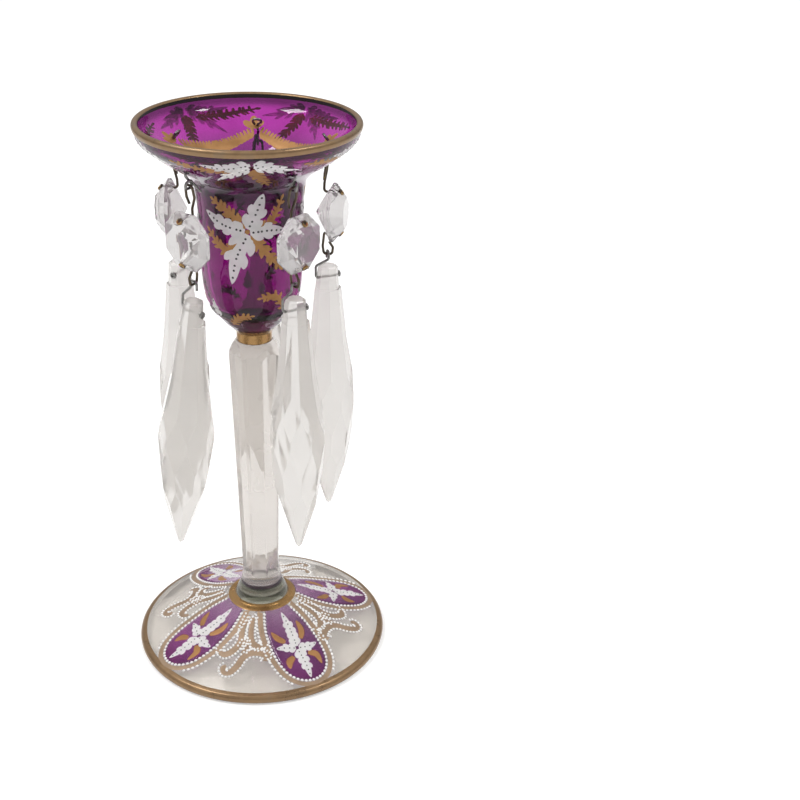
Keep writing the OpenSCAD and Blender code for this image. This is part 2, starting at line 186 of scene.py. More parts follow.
def worn_metal(name, scale, rough, metallic=1.0, relief=METAL_RELIEF):
    """Metal whose gloss is worn in patches, without its colour, and its tree, shader and wear."""
    mat, tree, shader, _ = material(name)
    shader.inputs["Metallic"].default_value = metallic
    worn = noise(tree, scale, *WEAR)
    tree.links.new(spread(tree, worn, *rough), shader.inputs["Roughness"])
    bump(tree, shader, noise(tree, scale * GRAIN_FINER, GRAIN_DETAIL), relief, METAL_GRAIN)
    return mat, tree, shader, worn


def metal(name, stops, **wear):
    """Metal whose colour is worn in patches with its gloss."""
    mat, tree, shader, worn = worn_metal(name, **wear)
    tree.links.new(ramp(tree, worn, stops), shader.inputs["Base Color"])
    return mat


def enamel(name, stops, scale, thin=0.0):
    """Paint brushed on unevenly; thin is the share of light that it lets through."""
    mat, tree, shader, _ = material(name)
    shader.inputs["Transmission Weight"].default_value = thin
    shader.inputs["IOR"].default_value = ENAMEL_IOR
    shader.inputs["Roughness"].default_value = ENAMEL_ROUGH
    tree.links.new(ramp(tree, noise(tree, scale), stops), shader.inputs["Base Color"])
    bump(tree, shader, noise(tree, scale * BRUSH_FINER, GRAIN_DETAIL), ENAMEL_RELIEF, BRUSH_MARK)
    return mat


# Tints of foot and stem by height: the spread foot, the greenish boss with painted dark and pale
# reflection bands, the dark seam above it, and the petals' painted lilac reflection low on the stem
PLAIN, SPREAD, SEAM, LILAC_REFLECTION = (1, 1, 1), (0.82, 0.815, 0.80), (0.04, 0.02, 0.035), (0.84, 0.77, 0.83)
BOSS_DARK_REFLECTION, BOSS_MID, BOSS_PALE_REFLECTION = (0.06, 0.07, 0.048), (0.24, 0.255, 0.20), (0.56, 0.58, 0.49)
STAND_TINTS = ("height", 0.017, 0.030, [
    (0, SPREAD), (0.04, SPREAD), (0.06, BOSS_DARK_REFLECTION), (0.10, BOSS_DARK_REFLECTION), (0.15, BOSS_PALE_REFLECTION),
    (0.22, BOSS_MID), (0.32, BOSS_DARK_REFLECTION), (0.37, BOSS_PALE_REFLECTION), (0.44, BOSS_MID), (0.52, BOSS_DARK_REFLECTION),
    (0.56, SEAM), (0.63, SEAM), (0.67, LILAC_REFLECTION), (0.97, PLAIN)])
# Painted shade of the bowl by height: the room's dark reflection painted at the waist, less of it up the
# flare, and painted shade at the brim
WAIST_SHADE, FLARE_SHADE, BRIM_SHADE = (0.40, 0.85, 0.43), (0.62, 0.92, 0.64), (0.36, 0.45, 0.36)
BOWL_SHADE_TINTS = ("height", 0.180, 0.210, [
    (0, PLAIN), (0.17, PLAIN), (0.25, WAIST_SHADE), (0.40, WAIST_SHADE), (0.54, FLARE_SHADE), (0.68, PLAIN),
    (0.84, PLAIN), (0.90, BRIM_SHADE), (1, BRIM_SHADE)])
# Tints of the petals by radius, from the boss to their tips
PETAL_TINTS = ("radius", 0.013, 0.046, [
    (0, (0.62, 0.46, 0.61)), (0.3, (0.53, 0.27, 0.51)), (0.7, (0.43, 0.14, 0.40)),
    (1, (0.305, 0.06, 0.25))])

CLEAR = glass("clear glass", (0.775, 0.742, 0.707), (0.725, 0.692, 0.657), (0.90, 0.89, 0.88),
              ior=1.34, wave=0.2, rough=0.03, clear=0.71, by=STAND_TINTS)
AMETHYST = glass("amethyst glass", (0.53, 0.078, 0.485), (0.365, 0.036, 0.32), (0.50, 0.20, 0.50),
                 ior=1.37, wave=0.10, inside=((0.76, 0.06, 0.68), 340), by=BOWL_SHADE_TINTS)
CRYSTAL = glass("cut crystal", (0.70, 0.682, 0.674), (0.64, 0.622, 0.614), (0.92, 0.915, 0.90),
                ior=1.38, wave=0.1, wave_scale=60, clear=0.82)
PRISM = glass("prism glass", (0.805, 0.785, 0.76), (0.755, 0.735, 0.71), (0.93, 0.925, 0.91),
              ior=1.21, wave=0.1, wave_scale=60, rough=0.02, clear=0.69)
STAIN = glass("amethyst stain", (1.0, 1.0, 1.0), (0.56, 0.54, 0.56), (0.46, 0.22, 0.50),
              ior=1.3, wave=0.3, wave_scale=300, rough=0.1, clear=0.8, by=PETAL_TINTS)
STEEL = metal("dark steel wire", [(0.3, (0.11, 0.106, 0.10)), (0.6, (0.27, 0.265, 0.255)),
                                  (0.8, (0.17, 0.135, 0.10))], scale=700, rough=(0.22, 0.44))
GILDING = metal("worn gilding", [(0.3, (0.20, 0.125, 0.068)), (0.55, (0.27, 0.17, 0.088)),
                                 (0.75, (0.23, 0.165, 0.105))],
                scale=160, rough=(0.24, 0.46), metallic=0.75)
GOLD_BAND = metal("gold band", [(0.3, (0.26, 0.145, 0.052)), (0.55, (0.36, 0.21, 0.08)),
                                (0.75, (0.30, 0.19, 0.095))],
                  scale=160, rough=(0.16, 0.38), metallic=0.8)
GOLD_PAINT = metal("gold paint", [(0.3, (0.29, 0.14, 0.042)), (0.7, (0.42, 0.215, 0.075))],
                   scale=220, rough=(0.42, 0.6), metallic=0.45, relief=0.3)
PALE_GOLD = metal("thin gilding", [(0.3, (0.27, 0.185, 0.12)), (0.7, (0.37, 0.26, 0.175))],
                  scale=200, rough=(0.45, 0.6), metallic=0.4, relief=0.2)
WHITE = enamel("white enamel", [(0.3, (0.80, 0.785, 0.775)), (0.65, (0.90, 0.885, 0.875))],
               scale=260, thin=0.3)
DOTS = enamel("raised white enamel", [(0.3, (0.74, 0.725, 0.715)), (0.65, (0.84, 0.825, 0.815))],
              scale=260)
INK = enamel("dark enamel", [(0.3, (0.012, 0.013, 0.014)), (0.7, (0.05, 0.05, 0.045))], scale=400)
# The wire and the head of the beads' pins, whose material depends on the way that a pin points
BRONZE = [(0.3, (0.055, 0.045, 0.036)), (0.65, (0.13, 0.10, 0.07))]
BRASS = [(0.3, (0.22, 0.13, 0.05)), (0.65, (0.40, 0.26, 0.11))]


# ---------------------------------------------------------------- lines and profiles

def through(keys, steps):
    """A smooth line through the points, in steps from each to the next."""
    k = [Vector(p) for p in keys]
    e = len(k) - 1
    line = []
    for i in range(e):
        a, b, c, d = k[max(i - 1, 0)], k[i], k[i + 1], k[min(i + 2, e)]
        for j in range(steps):
            t = j / steps
            line.append(b + t * (c - a) / 2 + t * t * (a - 2.5 * b + 2 * c - d / 2)
                        + t ** 3 * (1.5 * b - a / 2 - 1.5 * c + d / 2))
    return line + [k[e]]


def run_at(line, i):
    """The direction of a line at its point i."""
    return (line[min(i + 1, len(line) - 1)] - line[max(i - 1, 0)]).normalized()


def left_of(line, i):
    """The direction square to a line at its point i, to its left."""
    d = run_at(line, i)
    return Vector((-d.y, d.x))


def along(line, step):
    """Points along a line at an even step."""
    left, points = 0.0, []
    for a, b in zip(line, line[1:]):
        run = (b - a).length
        while left <= run:
            points.append(a.lerp(b, left / run) if run else a)
            left += step
        left -= run
    return points


def ease(low, high, x):
    """0 up to low, 1 from high, and a soft rise between."""
    t = min(1, max(0, (x - low) / (high - low)))
    return t * t * (3 - 2 * t)


# Profiles as (radius, height). The cup is photographed fuller below its middle than the CAD's.
CUP_SWELL = 2.2
SWELL_FROM, SWELL_FULL, SWELL_FADES, SWELL_ENDS = 132.5, 138.5, 146, 180
BOWL_WALL = 2.4
BOWL_STEPS = 4
INSIDE_TO = 2 * BOWL_STEPS  # the inside goes down to the bowl's third key
CAD_LINE = through([(6.4, 133), (9, 137.9), (14.4, 146.5), (17.6, 167.5), (18.9, 185.5), (21.2, 192.1),
                    (30, 198.7), (36.8, 204.2), (39, 208.9)], BOWL_STEPS)
FOOT_TOP = through([(48.04, 3.2), (29.4, 9.92), (12.72, 17.5)], steps=8)


def swell(z):
    """How far out the cup's wall goes beyond the CAD's at a height."""
    return CUP_SWELL * ease(SWELL_FROM, SWELL_FULL, z) * (1 - ease(SWELL_FADES, SWELL_ENDS, z))


OUT_LINE = [Vector((p.x + swell(p.y), p.y)) for p in CAD_LINE]
IN_LINE = [OUT_LINE[i] + BOWL_WALL * left_of(OUT_LINE, i)
           for i in range(len(OUT_LINE) - 1, INSIDE_TO - 1, -1)]


# ---------------------------------------------------------------- glass bodies and wires

CAD_WELD, PAINT_WELD = 2e-6, 1e-7  # points closer than this are one
STAND_SHARP, BOWL_SHARP, CUT_SHARP = 18, 40, 3  # edges bent more than this, in degrees, stay sharp
FLAT_WITHIN = 0.4  # faces bent less than this, in degrees, are one cut face
BEAD_SOFT, PRISM_SOFT = 0.00025, 0.0003  # how wide the cut edges are softened
SEAT_WITHIN, SEAT_SINK = 1e-6, 5e-5  # the points on a seat, and how deep they are let in
# A prism's head: its sides, its length, some slack, its reach, and how wide its foot and top become
HEAD_SIDES, HEAD_LENGTH, HEAD_SLACK, HEAD_REACH = 8, 0.0084, 1.001, 0.0043
HEAD_LOW, HEAD_HIGH = 1.16, 0.86
PIN_HEAD = 0.0008  # thickness of the brass head on a bead's pin


def add(name, data):
    """A new object in the scene."""
    obj = bpy.data.objects.new(name, data)
    bpy.context.scene.collection.objects.link(obj)
    return obj


def copy_of(name):
    """A welded copy of a CAD node's skin."""
    bm = bmesh.new()
    bm.from_mesh(nodes[name].data)
    bmesh.ops.remove_doubles(bm, verts=bm.verts, dist=CAD_WELD)
    return bm


def dress(name, bm, stands_for, body, mat, sharp, soften=0.0):
    """A piece that stands for CAD nodes: smooth up to the angle sharp, its cut edges softened."""
    limit = math.radians(sharp)
    if soften:
        bmesh.ops.dissolve_limit(bm, angle_limit=math.radians(FLAT_WITHIN), verts=bm.verts,
                                 edges=bm.edges)
        cut = [e for e in bm.edges if len(e.link_faces) == 2 and e.calc_face_angle(0) > limit]
        bmesh.ops.bevel(bm, geom=cut, offset=soften, offset_type="OFFSET", segments=2, profile=0.6,
                        affect="EDGES", clamp_overlap=True)
    for f in bm.faces:
        f.smooth = True
    for e in bm.edges:
        e.smooth = len(e.link_faces) == 2 and e.calc_face_angle(0) < limit
    me = bpy.data.meshes.new(name)
    bm.to_mesh(me)
    bm.free()
    me.materials.append(mat)
    obj = add(name, me)
    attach(obj, body)
    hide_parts(*stands_for)


def fuse(lower, upper):
    """One skin around two nodes that are melted together, the upper one let a little into the lower."""
    skins = [copy_of(lower), copy_of(upper)]
    seat = min(v.co.z for v in skins[1].verts)
    for v in skins[1].verts:
        if v.co.z < seat + SEAT_WITHIN:
            v.co.z -= SEAT_SINK
    pair = []
    for bm in skins:
        me = bpy.data.meshes.new("melted")
        bm.to_mesh(me)
        bm.free()
        pair.append(add("melted", me))
    join = pair[0].modifiers.new("join", "BOOLEAN")
    join.operation = "UNION"
    join.solver = "EXACT"
    join.object = pair[1]
    depsgraph = bpy.context.evaluated_depsgraph_get()
    me = bpy.data.meshes.new_from_object(pair[0].evaluated_get(depsgraph))
    bm = bmesh.new()
    bm.from_mesh(me)
    for obj in pair:
        bpy.data.meshes.remove(obj.data)  # takes its object with it
    bpy.data.meshes.remove(me)
    return bm


def taper_head(bm):
    """Cuts a prism's head wider at its foot and narrower at its top."""
    tip = min(bm.verts, key=lambda v: v.co.z).co.copy()
    ring = sorted(bm.verts, key=lambda v: -(v.co - tip).length)[:HEAD_SIDES]
    top = sum((v.co for v in ring), Vector()) / HEAD_SIDES
    axis = (top - tip).normalized()
    for v in bm.verts:
        h = (v.co - top).dot(axis)
        out = v.co - top - axis * h
        if h > -HEAD_SLACK * HEAD_LENGTH and out.length < HEAD_REACH:
            wide = HEAD_HIGH + (HEAD_LOW - HEAD_HIGH) * min(1, -h / HEAD_LENGTH)
            v.co = top + axis * h + out * wide
    return bm


def fuller_cup(bm):
    """Swells the lower half of the bowl's cup, the inside with the outside."""
    for v in bm.verts:
        z = v.co.z / MM
        for a, b in zip(CAD_LINE, CAD_LINE[1:]):
            if a.y <= z <= b.y:
                grow = 1 + swell(z) / (a.x + (b.x - a.x) * (z - a.y) / (b.y - a.y))
                v.co.x *= grow
                v.co.y *= grow
                break
    return bm


def headed(name, way):
    """The metal of a bead's pin: dark bronze wire, and a brass head at its end in the direction way."""
    end = max(Vector(way).dot(v.co) for v in nodes[name].data.vertices)
    mat, tree, shader, worn = worn_metal(f"bronze wire {name}", scale=600, rough=(0.3, 0.5))
    beyond = tree.nodes.new("ShaderNodeMath")
    beyond.operation = "GREATER_THAN"
    beyond.inputs[1].default_value = end - PIN_HEAD
    tree.links.new(reach(tree, way), beyond.inputs[0])
    mix = tree.nodes.new("ShaderNodeMix")
    mix.data_type = "RGBA"
    tree.links.new(beyond.outputs[0], mix.inputs["Factor"])
    tree.links.new(ramp(tree, worn, BRONZE), mix.inputs["A"])
    tree.links.new(ramp(tree, worn, BRASS), mix.inputs["B"])
    tree.links.new(mix.outputs["Result"], shader.inputs["Base Color"])
    return mat


def paint(name, mat):
    """A CAD node keeps its shape and gets this material."""
    data = nodes[name].data
    data.materials.clear()
    data.materials.append(mat)


dress("stand_glass", fuse("foot", "stem"), ["foot", "stem"], "stand", CLEAR, STAND_SHARP)
for i in DROPS:
    dress(f"octagon_{i}_glass", copy_of(f"octagon_{i}"), [f"octagon_{i}"], f"bead_{i}_body",
          CRYSTAL, CUT_SHARP, BEAD_SOFT)
    dress(f"prism_{i}_glass", taper_head(copy_of(f"prism_{i}")), [f"prism_{i}"], f"prism_{i}_body",
          PRISM, CUT_SHARP, PRISM_SOFT)
    paint(f"hanger_{i}", STEEL)
    paint(f"prism_pin_{i}", STEEL)
    facing = math.radians(HOLE_TURN[i - 1] + BEAD_TURN[i - 1])
    for pin in (f"upper_pin_{i}", f"lower_pin_{i}"):
        paint(pin, headed(pin, (math.cos(facing), math.sin(facing), 0)))
dress("bowl_glass", fuller_cup(copy_of("bowl")), ["bowl"], "stand", AMETHYST,
      BOWL_SHARP)


# ---------------------------------------------------------------- drawing on a turned surface

RADIUS, HEIGHT = 0, 1  # of a profile's points
WAY_PARTS = 8  # of each length of a profile, to look for a way
SHORTEST = 1e-9
BAND_UP, BAND_EDGE, BAND_SIDES = 0.06, 0.01, 180  # how far a band and its edges stand up, and its sides
DOT_RINGS = ((1.0, 0.0), (0.75, 0.7))  # a dot's edge and shoulder, as shares of its radius and height


class Skin:
    """A turned surface by its profile (radius, height), which runs with the outside on its right."""

    def __init__(self, line):
        self.line = [Vector(p) for p in line]
        self.way = [0.0]
        for a, b in zip(self.line, self.line[1:]):
            self.way.append(self.way[-1] + (b - a).length)

    def at(self, s):
        """The profile's point and outward direction at the way s along it."""
        last = len(self.line) - 2
        i = 0
        while i < last and self.way[i + 1] < s:
            i += 1
        t = (s - self.way[i]) / max(self.way[i + 1] - self.way[i], SHORTEST)
        p = self.line[i].lerp(self.line[i + 1], t)
        side = (-left_of(self.line, i)).lerp(-left_of(self.line, i + 1), min(max(t, 0), 1))
        return p, side.normalized()

    def place(self, turn, s, up):
        """The point, in metres, at an angle in degrees, a way along the profile and a height above it."""
        p, n = self.at(s)
        q = p + n * up
        a = math.radians(turn)
        return Vector((q.x * math.cos(a), q.x * math.sin(a), q.y)) * MM

    def way_at(self, value, axis):
        """The way along the profile where its RADIUS or HEIGHT comes nearest to value."""
        return min((abs((self.line[i].lerp(self.line[i + 1], t / WAY_PARTS))[axis] - value),
                    self.way[i] + (self.way[i + 1] - self.way[i]) * t / WAY_PARTS)
                   for i in range(len(self.line) - 1) for t in range(WAY_PARTS))[1]

    def sheet(self, turn, s):
        """Puts a flat drawing (x to the right, y along the profile) on the surface around one place."""
        def put(x, y, up):
            r = self.at(s + y)[0].x
            return self.place(turn + math.degrees(x / max(r, 1)), s + y, up)
        return put


class Paint:
    """Collects the faces of one colour and makes one object of them."""

    def __init__(self):
        self.points, self.faces = [], []

    def grid(self, rows):
        """A strip of faces through rows of points of equal length."""
        start, n = len(self.points), len(rows[0])
        for row in rows:
            self.points.extend(row)
        for i in range(len(rows) - 1):
            for j in range(n - 1):
                a = start + i * n + j
                self.faces.append((a, a + 1, a + n + 1, a + n))

    def stroke(self, put, spine, width, low, high, steps, across=2):
        """A raised stroke along a curved spine; width gives its half width from start (0) to end (1)."""
        line = through(spine, max(2, steps // (len(spine) - 1)))
        rows = []
        for i, p in enumerate(line):
            side = left_of(line, i)
            w = width(i / (len(line) - 1))
            rows.append([put(*(p + side * w * k / across), low + (high - low) * (1 - (k / across) ** 2))
                         for k in range(-across, across + 1)])
        self.grid(rows)

    def dot(self, put, x, y, r, high, low=0.02, sides=8):
        """A raised round dot."""
        start = len(self.points)
        for ring, up in DOT_RINGS:
            for k in range(sides):
                a = 2 * math.pi * k / sides
                self.points.append(put(x + r * ring * math.cos(a), y + r * ring * math.sin(a),
                                       low + (high - low) * up))
        self.points.append(put(x, y, high))
        for k in range(sides):
            m = (k + 1) % sides
            self.faces.append((start + k, start + m, start + sides + m, start + sides + k))
            self.faces.append((start + sides + k, start + sides + m, start + 2 * sides))

    def band(self, skin, steps):
        """A band right round a turned surface, over its whole profile."""
        rows = []
        for i in range(steps + 1):
            up = BAND_EDGE if i in (0, steps) else BAND_UP
            s = skin.way[-1] * i / steps
            rows.append([skin.place(360 * k / BAND_SIDES, s, up) for k in range(BAND_SIDES + 1)])
        self.grid(rows)

    def finish(self, name, mat):
        """Makes the object, which rides on the stand."""
        me = bpy.data.meshes.new(name)
        me.from_pydata(self.points, [], self.faces)
        bm = bmesh.new()
        bm.from_mesh(me)
        bmesh.ops.remove_doubles(bm, verts=bm.verts, dist=PAINT_WELD)
        bmesh.ops.recalc_face_normals(bm, faces=bm.faces)
        for f in bm.faces:
            f.smooth = True
        bm.to_mesh(me)
        bm.free()
        me.materials.append(mat)
        obj = add(name, me)
        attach(obj, "stand")


# How high strokes stand above the glass, at their edges and in their middle
LEAF_UP, LOBE_UP, STEM_UP, LEAFLET_UP = (0.04, 0.17), (0.04, 0.15), (0.02, 0.08), (0.015, 0.06)
FLOWER_UP, FEATHER_UP, SCROLL_UP, PETAL_GOLD_UP = (0.03, 0.10), (0.02, 0.07), (0.02, 0.09), (0.03, 0.14)
LEAF_DOT_UP = (0.24, 0.14)  # the top and the edge of a dot on a leaf
FINE_DOT, SMALL_DOT, BIG_DOT, LONG_DOT = 0.3, 0.36, 0.44, 0.46  # radii of the dots on the leaves
# White leaves: half widths by the leaf's width, the lobes' length, lean, bend and how much shorter they
# get to the tip, and where lobes and dots are
LEAF_HALF, LOBE_HALF, LOBE_LENGTH, LOBE_LEAN = 0.62, 0.42, 1.12, 36
LOBE_BEND, LOBE_BULGE, LOBE_SHRINKS = 0.55, 0.10, 0.3
LOBES_FROM, LOBES_OVER, DOTS_FROM, DOTS_OVER = 0.10, 0.60, 0.14, 0.70
LEAF_STEPS = 12
# Ferns: half widths and the tip's length by the fern's width, and the leaflets' place and lean
LEAFLET_HALF, FERN_TIP_HALF, FERN_TIP_LENGTH = 0.3, 0.28, 0.5
LEAFLETS_FROM, LEAFLETS_OVER, LEAFLET_LEAN, LEAFLET_STRAY = 0.12, 0.82, 52, 7
FERN_STEPS = 24
THINNEST = 0.03


def leaf_width(w):
    """Half widths of a stroke that swells from its start and ends in a point."""
    return lambda t: max(THINNEST, w * math.sin(math.pi * min(1, 0.12 + 0.88 * t)) ** 0.8)


def stem_width(w):
    """Half widths of a fern's stem, thickest in its middle."""
    return lambda t: 0.12 + 0.42 * w * math.sin(math.pi * min(1, 0.1 + 0.9 * t))


def flower_width(w):
    """Half widths of a flower's petal."""
    return lambda t: 0.06 + w * math.sin(math.pi * (0.08 + 0.9 * t)) ** 0.7


def scroll_width(w):
    """Half widths of a scroll, thinner at its ends."""
    return lambda t: w * (0.6 + 0.4 * math.sin(math.pi * min(1, 0.08 + 0.9 * t)))


def white_leaf(white, ink, put, base, tip, bulge, w, lobes, dots, dot_radius):
    """A white leaf from base to tip, bent sideways by bulge, with pointed lobes and a dotted midrib."""
    base, tip = Vector(base), Vector(tip)
    run = tip - base
    side = Vector((-run.y, run.x)).normalized()
    spine = [base, base.lerp(tip, 0.5) + side * bulge, tip]
    white.stroke(put, spine, leaf_width(LEAF_HALF * w), *LEAF_UP, steps=16, across=3)
    line = through(spine, LEAF_STEPS)
    last = len(line) - 1
    for k in range(lobes - 1):
        t = LOBES_FROM + LOBES_OVER * k / (lobes - 1)
        i = int(last * t)
        ahead = (line[i + 1] - line[i]).normalized()
        for hand in (-1, 1):
            out = Matrix.Rotation(math.radians(hand * LOBE_LEAN), 2) @ ahead
            across = Vector((-out.y, out.x)) * hand
            size = LOBE_LENGTH * run.length / lobes * (1 - LOBE_SHRINKS * t)
            bend = line[i] + out * LOBE_BEND * size + across * LOBE_BULGE * size
            white.stroke(put, [line[i], bend, line[i] + out * size], leaf_width(LOBE_HALF * w), *LOBE_UP,
                         steps=10, across=3)
    for k in range(dots):
        p = line[int((DOTS_FROM + DOTS_OVER * k / max(dots - 1, 1)) * last)]
        ink.dot(put, p.x, p.y, dot_radius, *LEAF_DOT_UP)


def gold_fern(gold, put, spine, w, pairs):
    """A gold fern along a curved spine with pairs of saw-like leaflets."""
    line = through(spine, FERN_STEPS // (len(spine) - 1))
    last = len(line) - 1
    gold.stroke(put, spine, stem_width(w), *STEM_UP, steps=14)
    for k in range(pairs):
        t = LEAFLETS_FROM + LEAFLETS_OVER * k / pairs
        i = int(t * last)
        at = line[i]
        ahead = run_at(line, i)
        size = w * (0.75 + 0.75 * math.sin(math.pi * min(1, 0.25 + 0.72 * t)))
        for hand in (-1, 1):
            lean = hand * LEAFLET_LEAN + rng.uniform(-LEAFLET_STRAY, LEAFLET_STRAY)
            end = at + (Matrix.Rotation(math.radians(lean), 2) @ ahead) * size
            gold.stroke(put, [at, at.lerp(end, 0.6) - ahead * 0.05 * w, end],
                        leaf_width(LEAFLET_HALF * w), *LEAFLET_UP, steps=6)
    tip_run = (line[last] - line[last - 2]).normalized()
    gold.stroke(put, [line[last - 2], line[last] + tip_run * FERN_TIP_LENGTH * w],
                leaf_width(FERN_TIP_HALF * w), *LEAFLET_UP, steps=6)


# ---------------------------------------------------------------- painting on the bowl

OUTSIDE = Skin(OUT_LINE)
INSIDE = Skin(IN_LINE)

# White leaves are base, tip, bulge, width, lobes, dots and dot radius; ferns are spine, width, pairs
SPRAY_TURNS, SPRAY_HEIGHT = (273, 33, 153), 177
SPRAY_LEAVES = [((0.3, 1.0), (5.8, 14.0), -0.4, 3.6, 3, 6, BIG_DOT),
                ((-0.9, 0.2), (-16.0, 5.8), 1.0, 3.4, 4, 8, BIG_DOT),
                ((0.9, -0.3), (13.4, -0.6), 0.6, 3.4, 3, 7, BIG_DOT),
                ((0.1, -0.9), (-6.0, -19.4), -1.2, 3.9, 3, 8, LONG_DOT)]
SPRAY_FERNS = [([(-0.8, 0.9), (-6, 6.4), (-12.6, 10.8)], 2.1, 8),
               ([(0.8, 1.0), (8.0, 3.2), (12.8, 11.8)], 1.9, 8),
               ([(-0.9, -1.2), (-8.0, -7.0), (-15.2, -0.8)], 2.1, 8),
               ([(0.9, -1.2), (5.4, -6.8), (11.6, -14.2)], 2.2, 8)]
# Under the cup: the turn from the spray, the height, and the fern or leaf
LOW_FERNS = [(26, 149.5, [(5.2, -3.2), (1.4, 3.0), (-4.6, 2.8)], 1.8, 6),
             (-14, 142.5, [(-3.6, -3.8), (-0.6, 1.2), (4.6, 2.6)], 1.7, 6)]
LOW_LEAVES = [(-48, 145.5, (0.4, -2.8), (-0.6, 4.6), 0.3, 1.9, 3, 3, SMALL_DOT),
              (50, 142, (-0.6, -2.0), (0.8, 4.0), 0.2, 1.8, 3, 3, SMALL_DOT)]
FLARE_TURNS, FLARE_HEIGHT = (278, 350, 62, 134, 206), 206.4
FLARE_LEAVES = [((-0.4, -0.6), (-17, -1.6), 1.6, 2.0, 5, 8, SMALL_DOT),
                ((0.6, -0.4), (10.4, -2.0), -0.6, 1.8, 3, 4, SMALL_DOT),
                ((0.7, -1.6), (16.0, -5.6), -0.4, 1.9, 4, 5, SMALL_DOT),
                ((-0.7, -2.0), (-11.0, -13.2), -0.8, 2.0, 4, 5, SMALL_DOT)]
FLARE_FERNS = [([(-3.0, -4.6), (-14, -4.8), (-28, -2.4)], 1.9, 11),
               ([(0.6, -3.0), (2.2, -9.0), (5.4, -17.5)], 2.2, 8)]
# Inside the flare: the flowers' place and petals (lean, length, half width), the swags' line and height
# above the glass, and their feathers (side, length)
FLOWER_TURN, FLOWER_RADIUS = 3, 27.6
FLOWER = [(0, 5.6, 1.35), (-46, 4.9, 1.2), (46, 4.9, 1.2)]
SWAG_STEPS, SWAG_RADIUS, SWAG_SAG, SWAG_HALF = 26, 26.4, 4.9, 1.7
SWAG_ACROSS, SWAG_EDGE, SWAG_RISE = (-1, -0.5, 0, 0.5, 1), 0.03, 0.06
FEATHERS, FEATHER_HALF = ((-1, 3.1), (1, 2.5)), 0.55
FEATHER_LEAN, FEATHER_SWEEP, FEATHER_BEND = 0.55, 1.9, 0.62
LIP_R, LIP_STEPS = BOWL_WALL / 2, 12
RIM_FROM, COLLAR_TO = 207.4, 135.4  # the heights where the gilding of rim and neck ends on the bowl
NECK = [(6.4, 129.55), (6.4, 131.0), (6.4, 133.0)]


def spray(gold, white, ink, put, leaves, ferns):
    """White leaves and gold ferns around one place."""
    for leaf in leaves:
        white_leaf(white, ink, put, *leaf)
    for fern in ferns:
        gold_fern(gold, put, *fern)


def flower(gold, turn):
    """A flower of three petals above a hole, inside the flare."""
    put = INSIDE.sheet(turn + FLOWER_TURN, INSIDE.way_at(FLOWER_RADIUS, RADIUS))
    for lean, size, w in FLOWER:
        tip = Matrix.Rotation(math.radians(lean), 2) @ Vector((0, -size))
        gold.stroke(put, [(0, 0), tip * 0.6, tip], flower_width(w), *FLOWER_UP, steps=10)


def swag(gold, turn):
    """A hanging band with feathery edges, inside the flare from one hole to the next."""
    rows, places = [], []
    for j in range(1, SWAG_STEPS):
        a = turn + HOLE_GAP * j / SWAG_STEPS
        sag = SWAG_SAG * math.sin(math.pi * j / SWAG_STEPS) ** 0.75
        s = INSIDE.way_at(SWAG_RADIUS - sag, RADIUS)
        w = SWAG_HALF * math.sin(math.pi * (a - turn) / HOLE_GAP) ** 0.35
        rows.append([INSIDE.place(a, s + w * u, SWAG_EDGE + SWAG_RISE * (1 - u * u)) for u in SWAG_ACROSS])
        places.append((a, s))
    gold.grid(rows)
    for j, (a, s) in enumerate(places):
        here = INSIDE.sheet(a, s)
        lean = FEATHER_LEAN if j < SWAG_STEPS / 2 else -FEATHER_LEAN
        for hand, size in FEATHERS:
            bend, end = (lean, hand * FEATHER_BEND * size), (FEATHER_SWEEP * lean, hand * size)
            gold.stroke(here, [(0, 0), bend, end], leaf_width(FEATHER_HALF), *FEATHER_UP, steps=6)


def round_lip():
    """The points over the lip, from the bowl's outside to its inside, without the two ends."""
    lip_out, lip_in = OUT_LINE[-1], IN_LINE[0]
    mid = (lip_out + lip_in) / 2
    start = math.atan2(lip_out.y - mid.y, lip_out.x - mid.x)
    turns = [start + math.pi * k / LIP_STEPS for k in range(1, LIP_STEPS)]
    return [mid + LIP_R * Vector((math.cos(a), math.sin(a))) for a in turns]


def paint_bowl():
    """The sprays, flowers, swags and gilded bands of the bowl."""
    gold, white, ink, rim, collar = (Paint() for _ in range(5))
    for turn in SPRAY_TURNS:
        put = OUTSIDE.sheet(turn, OUTSIDE.way_at(SPRAY_HEIGHT, HEIGHT))
        spray(gold, white, ink, put, SPRAY_LEAVES, SPRAY_FERNS)
        gold.dot(put, 0, 0, r=0.9, high=0.2, low=0.04, sides=12)
    for turn in SPRAY_TURNS:
        for aside, height, *fern in LOW_FERNS:
            gold_fern(gold, OUTSIDE.sheet(turn + aside, OUTSIDE.way_at(height, HEIGHT)), *fern)
        for aside, height, *leaf in LOW_LEAVES:
            white_leaf(white, ink, OUTSIDE.sheet(turn + aside, OUTSIDE.way_at(height, HEIGHT)), *leaf)
    for turn in FLARE_TURNS:
        put = OUTSIDE.sheet(turn, OUTSIDE.way_at(FLARE_HEIGHT, HEIGHT))
        spray(gold, white, ink, put, FLARE_LEAVES, FLARE_FERNS)
    for turn in HOLE_TURN:
        flower(gold, turn)
        swag(gold, turn)
    rim.band(Skin([p for p in OUT_LINE if p.y > RIM_FROM] + round_lip()), steps=24)
    collar.band(Skin(NECK + [p for p in OUT_LINE[1:] if p.y < COLLAR_TO]), steps=12)

    collar.finish("neck_gilding", GOLD_BAND)
    gold.finish("bowl_gold_leaves", GOLD_PAINT)
    white.finish("bowl_white_leaves", WHITE)
    ink.finish("bowl_leaf_dots", INK)
    rim.finish("bowl_gilding", GILDING)


paint_bowl()


# ---------------------------------------------------------------- painting on the foot

FOOT = Skin(FOOT_TOP)
FOOT_WAYS = sorted((p.x, w) for p, w in zip(FOOT.line, FOOT.way))

